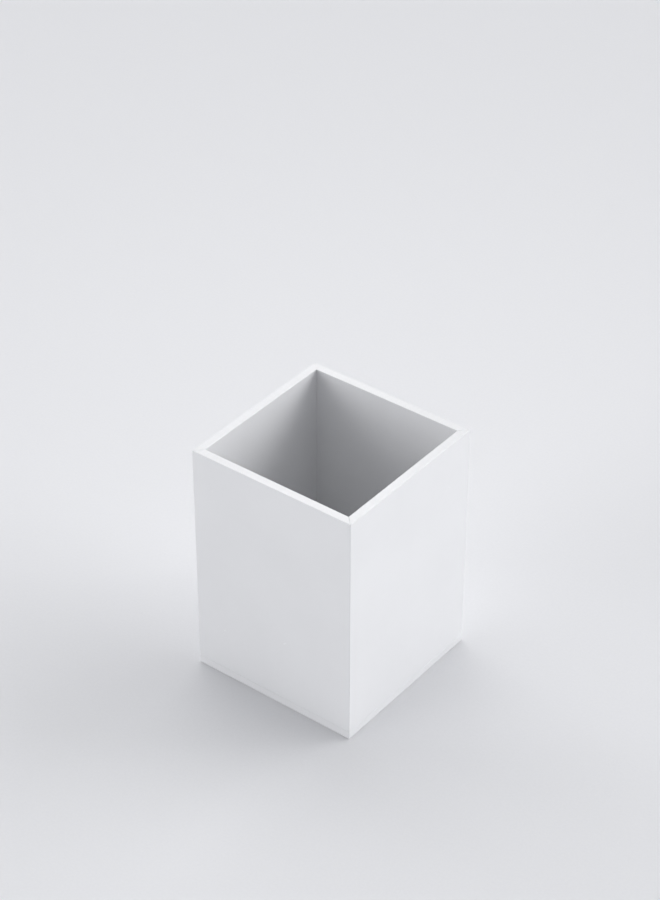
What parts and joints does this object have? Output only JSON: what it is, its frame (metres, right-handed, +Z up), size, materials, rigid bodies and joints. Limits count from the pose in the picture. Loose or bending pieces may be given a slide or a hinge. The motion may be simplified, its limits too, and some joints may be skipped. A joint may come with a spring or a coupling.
{
  "type": "pen holder cup",
  "caption": "Square open-topped desk cup for pens, made of mitred glossy white acrylic panels bonded on a flat base plate.",
  "frame": {"origin": "middle of the footprint, on the surface that the cup stands on", "axes": "+Z up, out of the open top; -Y is the front wall and +X the right wall"},
  "size_m": [0.075, 0.075, 0.1045],
  "materials": {
    "white_acrylic": "polished"
  },
  "bodies": {
    "root": {"base_plate": "white_acrylic", "wall_front": "white_acrylic", "wall_right": "white_acrylic", "wall_back": "white_acrylic", "wall_left": "white_acrylic"}
  },
  "joints": []
}
